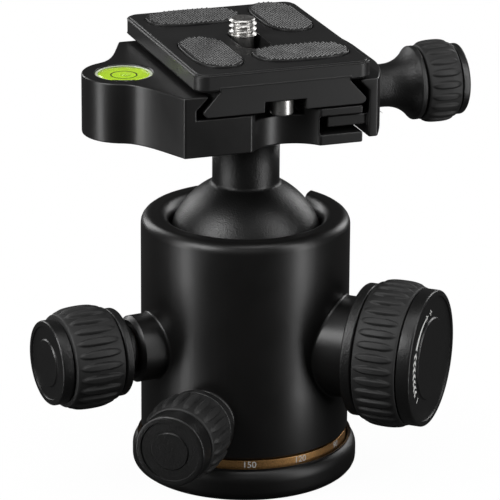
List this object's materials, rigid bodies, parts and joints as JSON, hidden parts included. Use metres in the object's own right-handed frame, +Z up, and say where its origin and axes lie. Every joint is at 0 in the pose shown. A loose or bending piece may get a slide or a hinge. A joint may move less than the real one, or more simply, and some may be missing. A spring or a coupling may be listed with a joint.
{
  "type": "tripod ball head",
  "caption": "Tripod ball head: locking ball with drop notch, panning base, side knobs and a screw-knob clamp holding a dovetail camera plate.",
  "frame": {"origin": "centre of the base flange's underside, on the tripod thread and pan axis", "axes": "+Z up along the pan axis and, at rest, the ball's stem; -Y towards the pan knob; +X towards the main knob; +Y towards the drop notch"},
  "size_m": [0.0857, 0.0848, 0.106],
  "materials": {
    "flange_black": "satin black anodised",
    "ring_bronze": "bronze anodised with white numbers",
    "steel": "bright steel",
    "ptfe": "white low-friction plastic",
    "body_black": "satin black anodised",
    "alloy": "plain machined",
    "brass": "machined",
    "ball_black": "fine-grained black anodised",
    "knob_black": "fine-grained satin black",
    "grip_rubber": "matt ribbed rubber",
    "cap_black": "smooth black",
    "clamp_black": "satin black anodised",
    "plate_black": "satin black anodised",
    "pad_rubber": "knurled rubber",
    "level_green": "yellow-green fluid",
    "level_clear": "clear"
  },
  "bodies": {
    "base": {"base_flange": "flange_black", "scale_ring": "ring_bronze", "pan_spindle": "alloy", "spindle_screws": "steel", "thrust_washer": "ptfe", "spindle_retainer": "alloy", "retainer_screw": "steel"},
    "housing": {"housing": "body_black", "pan_bearing": "alloy", "spring_plate": "alloy", "seat_spring": "steel", "main_bushing": "brass", "friction_bushing": "brass", "pan_bushing": "brass"},
    "seat": {"ball_seat": "brass"},
    "ball": {"ball_and_stem": "ball_black"},
    "clamp": {"clamp_base": "clamp_black", "stem_screw": "steel", "level_vial": "level_clear", "level_fluid": "level_green", "level_lens": "level_clear"},
    "main_pin": {"main_pin": "steel"},
    "main_knob": {"main_stud": "steel", "main_core": "knob_black", "main_grip": "grip_rubber", "main_cap": "cap_black"},
    "friction_plug": {"friction_plug": "ptfe"},
    "friction_knob": {"friction_stud": "steel", "friction_core": "knob_black", "friction_grip": "grip_rubber", "friction_cap": "cap_black"},
    "pan_shoe": {"pan_shoe": "ptfe"},
    "pan_knob": {"pan_stud": "steel", "pan_core": "knob_black", "pan_grip": "grip_rubber", "pan_cap": "cap_black"},
    "jaw": {"clamp_jaw": "clamp_black"},
    "clamp_knob": {"clamp_stud": "steel", "clamp_core": "knob_black", "clamp_grip": "grip_rubber", "clamp_cap": "cap_black"},
    "plate": {"plate": "plate_black", "plate_pads": "pad_rubber", "stop_screws": "steel"},
    "camera_screw": {"camera_screw": "steel", "screw_clip": "steel"}
  },
  "joints": [
    {"name": "pan", "type": "hinge", "parent": "base", "child": "housing", "pos_m": [0, 0, 0], "axis": [0, 0, 1], "continuous": true},
    {"name": "ball_heading", "type": "hinge", "parent": "housing", "child": "seat", "pos_m": [0, 0, 0.0525], "axis": [0, 0, 1], "range_deg": [-180, 0]},
    {"name": "ball_tilt", "type": "hinge", "parent": "seat", "child": "ball", "pos_m": [0, 0, 0.0525], "axis": [-1, 0, 0], "range_deg": [-40, 90]},
    {"name": "clamp_spin", "type": "hinge", "parent": "ball", "child": "clamp", "pos_m": [0, 0, 0.0525], "axis": [0, 0, 1], "continuous": true},
    {"name": "main_pin_slide", "type": "slide", "parent": "housing", "child": "main_pin", "axis": [1, 0, 0], "range_m": [0, 0.0009375]},
    {"name": "main_knob_turn", "type": "hinge", "parent": "main_pin", "child": "main_knob", "pos_m": [0, 0, 0.0321], "axis": [1, 0, 0], "range_deg": [0, 270]},
    {"name": "friction_plug_slide", "type": "slide", "parent": "housing", "child": "friction_plug", "axis": [-0.6626, -0.749, 0], "range_m": [0, 0.00075]},
    {"name": "friction_knob_turn", "type": "hinge", "parent": "friction_plug", "child": "friction_knob", "pos_m": [0, 0, 0.0326], "axis": [-0.6626, -0.749, 0], "range_deg": [0, 270]},
    {"name": "pan_shoe_slide", "type": "slide", "parent": "housing", "child": "pan_shoe", "axis": [0, -1, 0], "range_m": [0, 0.00075]},
    {"name": "pan_knob_turn", "type": "hinge", "parent": "pan_shoe", "child": "pan_knob", "pos_m": [0, 0, 0.0191], "axis": [0, -1, 0], "range_deg": [0, 270]},
    {"name": "jaw_slide", "type": "slide", "parent": "clamp", "child": "jaw", "axis": [0.7547, 0.6561, 0], "range_m": [-0.0006, 0.003]},
    {"name": "clamp_knob_turn", "type": "hinge", "parent": "jaw", "child": "clamp_knob", "pos_m": [0, 0, 0.0884], "axis": [0.7547, 0.6561, 0], "range_deg": [-172.8, 864]},
    {"name": "plate_slide", "type": "slide", "parent": "clamp", "child": "plate", "axis": [0.6561, -0.7547, 0], "range_m": [-0.004, 0.004]},
    {"name": "camera_screw_turn", "type": "hinge", "parent": "plate", "child": "camera_screw", "pos_m": [-0.00253, 0.0039, 0.1], "axis": [0, 0, 1], "continuous": true}
  ],
  "couplings": [
    {"joint": "main_knob_turn", "follows": "main_pin_slide", "rad_per_m": 5026.5},
    {"joint": "friction_knob_turn", "follows": "friction_plug_slide", "rad_per_m": 6283.2},
    {"joint": "pan_knob_turn", "follows": "pan_shoe_slide", "rad_per_m": 6283.2},
    {"joint": "clamp_knob_turn", "follows": "jaw_slide", "rad_per_m": 5026.5}
  ]
}
